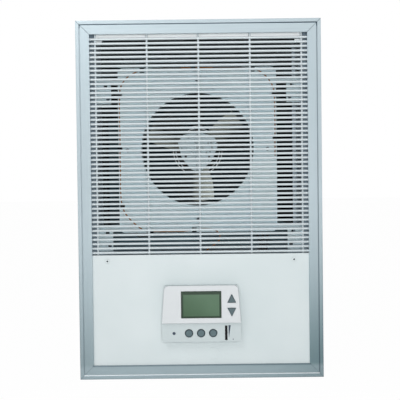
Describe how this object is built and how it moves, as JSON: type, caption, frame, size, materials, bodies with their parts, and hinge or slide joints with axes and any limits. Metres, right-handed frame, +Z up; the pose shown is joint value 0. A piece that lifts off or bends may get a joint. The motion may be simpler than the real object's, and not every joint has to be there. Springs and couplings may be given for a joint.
{
  "type": "wall-mounted fan heater",
  "caption": "Recessed fan-forced electric wall heater: mitred metal frame, fine horizontal bar grille over a fan deck, painted lower panel with a built-in programmable thermostat.",
  "frame": {"origin": "rear face of the back box, at the middle of its four wall-screw holes", "axes": "+Z up, +X to the right as seen from the room, +Y back into the wall (the grille faces -Y)"},
  "size_m": [0.412, 0.137, 0.605],
  "materials": {
    "dark_steel": "plain dark enamel",
    "galvanised": "slate grey coated sheet steel",
    "deck_steel": "pale blue-grey coated sheet steel",
    "element_steel": "oxidised sheath steel",
    "screw_steel": "zinc plated",
    "core_steel": "laminated steel",
    "frame_aluminium": "satin anodised",
    "bar_aluminium": "bright satin anodised",
    "panel_paint": "smooth pale grey powder coat",
    "white_paint": "white enamel",
    "motor_paint": "black enamel",
    "fan_cream": "cream coated sheet",
    "capillary_copper": "copper tube",
    "winding_copper": "enamelled copper wire",
    "bearing_bronze": "sintered bronze",
    "black_plastic": "black moulded",
    "dark_plastic": "dark grey moulded",
    "grey_plastic": "blue-grey moulded",
    "white_plastic": "white moulded, low gloss",
    "board_green": "glass-fibre circuit board",
    "lcd_glass": "green-grey liquid crystal display",
    "lead_insulation": "high-temperature sleeve",
    "grommet_rubber": "moulded"
  },
  "bodies": {
    "case": {"badge_blank": "dark_steel", "board_switches": "black_plastic", "box_side_left": "galvanised", "box_side_right": "galvanised", "box_wrapper": "galvanised", "cable_clamp": "black_plastic", "capillary_clips": "black_plastic", "control_shelf": "galvanised", "corner_brackets": "galvanised", "deck_screws": "screw_steel", "disconnect_switch": "black_plastic", "display_lens": "lcd_glass", "display_module": "dark_plastic", "element_brackets": "galvanised", "element_fins": "element_steel", "element_sheaths": "element_steel", "element_terminals": "screw_steel", "fan_deck": "deck_steel", "frame_bottom_rail": "frame_aluminium", "frame_corner_keys": "screw_steel", "frame_left_rail": "frame_aluminium", "frame_right_rail": "frame_aluminium", "frame_top_rail": "frame_aluminium", "front_panel": "panel_paint", "grille_bars": "bar_aluminium", "grille_rail_left": "bar_aluminium", "grille_rail_right": "bar_aluminium", "grille_rods": "bar_aluminium", "hanger_strip": "white_paint", "heater_relay": "black_plastic", "lead_wires": "lead_insulation", "limit_capillary": "capillary_copper", "limit_switch": "black_plastic", "motor_bearings": "bearing_bronze", "motor_front_bell": "motor_paint", "motor_rear_bell": "motor_paint", "motor_stator": "core_steel", "motor_strap": "galvanised", "motor_windings": "winding_copper", "panel_screws": "screw_steel", "shelf_grommets": "grommet_rubber", "terminal_block": "white_plastic", "terminal_screws": "screw_steel", "thermostat_base": "white_plastic", "thermostat_board": "board_green", "thermostat_fascia": "white_plastic", "thermostat_housing": "white_plastic", "thermostat_screws": "screw_steel"},
    "fan": {"fan_blades": "fan_cream", "fan_hub": "fan_cream", "motor_rotor": "core_steel", "motor_shaft": "screw_steel"},
    "up_key_body": {"up_key": "grey_plastic"},
    "down_key_body": {"down_key": "grey_plastic"},
    "round_key_one_body": {"round_key_one": "grey_plastic"},
    "round_key_two_body": {"round_key_two": "grey_plastic"},
    "round_key_three_body": {"round_key_three": "grey_plastic"},
    "reset_pin_body": {"reset_pin": "black_plastic"},
    "slider_body": {"slider_knob": "black_plastic"},
    "rocker_body": {"disconnect_rocker": "black_plastic"}
  },
  "joints": [
    {"name": "fan_spin", "type": "hinge", "parent": "case", "child": "fan", "pos_m": [-0.003, -0.06, 0.086], "axis": [0, -1, 0], "continuous": true},
    {"name": "up_key_press", "type": "slide", "parent": "case", "child": "up_key_body", "axis": [0, 1, 0], "range_m": [0, 0.0008], "stiffness_N_per_m": 1200, "springref_m": -0.0004},
    {"name": "down_key_press", "type": "slide", "parent": "case", "child": "down_key_body", "axis": [0, 1, 0], "range_m": [0, 0.0008], "stiffness_N_per_m": 1200, "springref_m": -0.0004},
    {"name": "round_key_one_press", "type": "slide", "parent": "case", "child": "round_key_one_body", "axis": [0, 1, 0], "range_m": [0, 0.0008], "stiffness_N_per_m": 1200, "springref_m": -0.0004},
    {"name": "round_key_two_press", "type": "slide", "parent": "case", "child": "round_key_two_body", "axis": [0, 1, 0], "range_m": [0, 0.0008], "stiffness_N_per_m": 1200, "springref_m": -0.0004},
    {"name": "round_key_three_press", "type": "slide", "parent": "case", "child": "round_key_three_body", "axis": [0, 1, 0], "range_m": [0, 0.0008], "stiffness_N_per_m": 1200, "springref_m": -0.0004},
    {"name": "reset_pin_press", "type": "slide", "parent": "case", "child": "reset_pin_body", "axis": [0, 1, 0], "range_m": [0, 0.0008], "stiffness_N_per_m": 1200, "springref_m": -0.0004},
    {"name": "slider_travel", "type": "slide", "parent": "case", "child": "slider_body", "axis": [0, 0, 1], "range_m": [-0.008, 0.008]},
    {"name": "disconnect_rock", "type": "hinge", "parent": "case", "child": "rocker_body", "pos_m": [0.094, -0.104, -0.112], "axis": [1, 0, 0], "range_deg": [-8, 8]}
  ]
}
